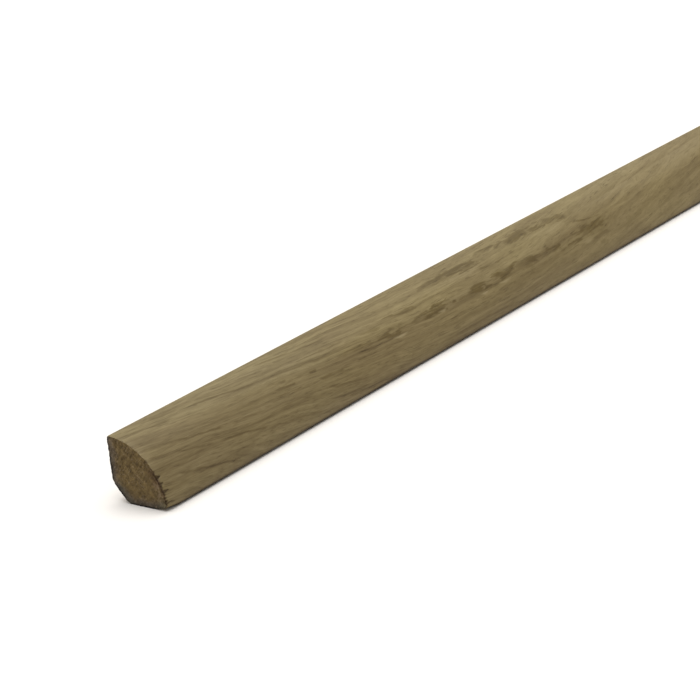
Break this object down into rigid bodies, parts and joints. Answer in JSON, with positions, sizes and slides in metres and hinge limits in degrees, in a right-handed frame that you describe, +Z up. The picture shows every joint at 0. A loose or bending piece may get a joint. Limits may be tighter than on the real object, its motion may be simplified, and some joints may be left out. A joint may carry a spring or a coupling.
{
  "type": "quarter round moulding",
  "caption": "Solid oak quarter round moulding: a quarter-circle face over two flats and a bevelled back corner, to cover the joint between a floor and a wall or skirting board.",
  "frame": {"origin": "on the floor face, under the middle of the moulding's length and depth", "axes": "+X along the length, +Y into the wall, +Z up; the round face looks towards -Y and up"},
  "size_m": [2.4, 0.0189, 0.019],
  "materials": {
    "oak": "planed and sanded, unfinished"
  },
  "bodies": {
    "root": {"quarter_round": "oak"}
  },
  "joints": []
}
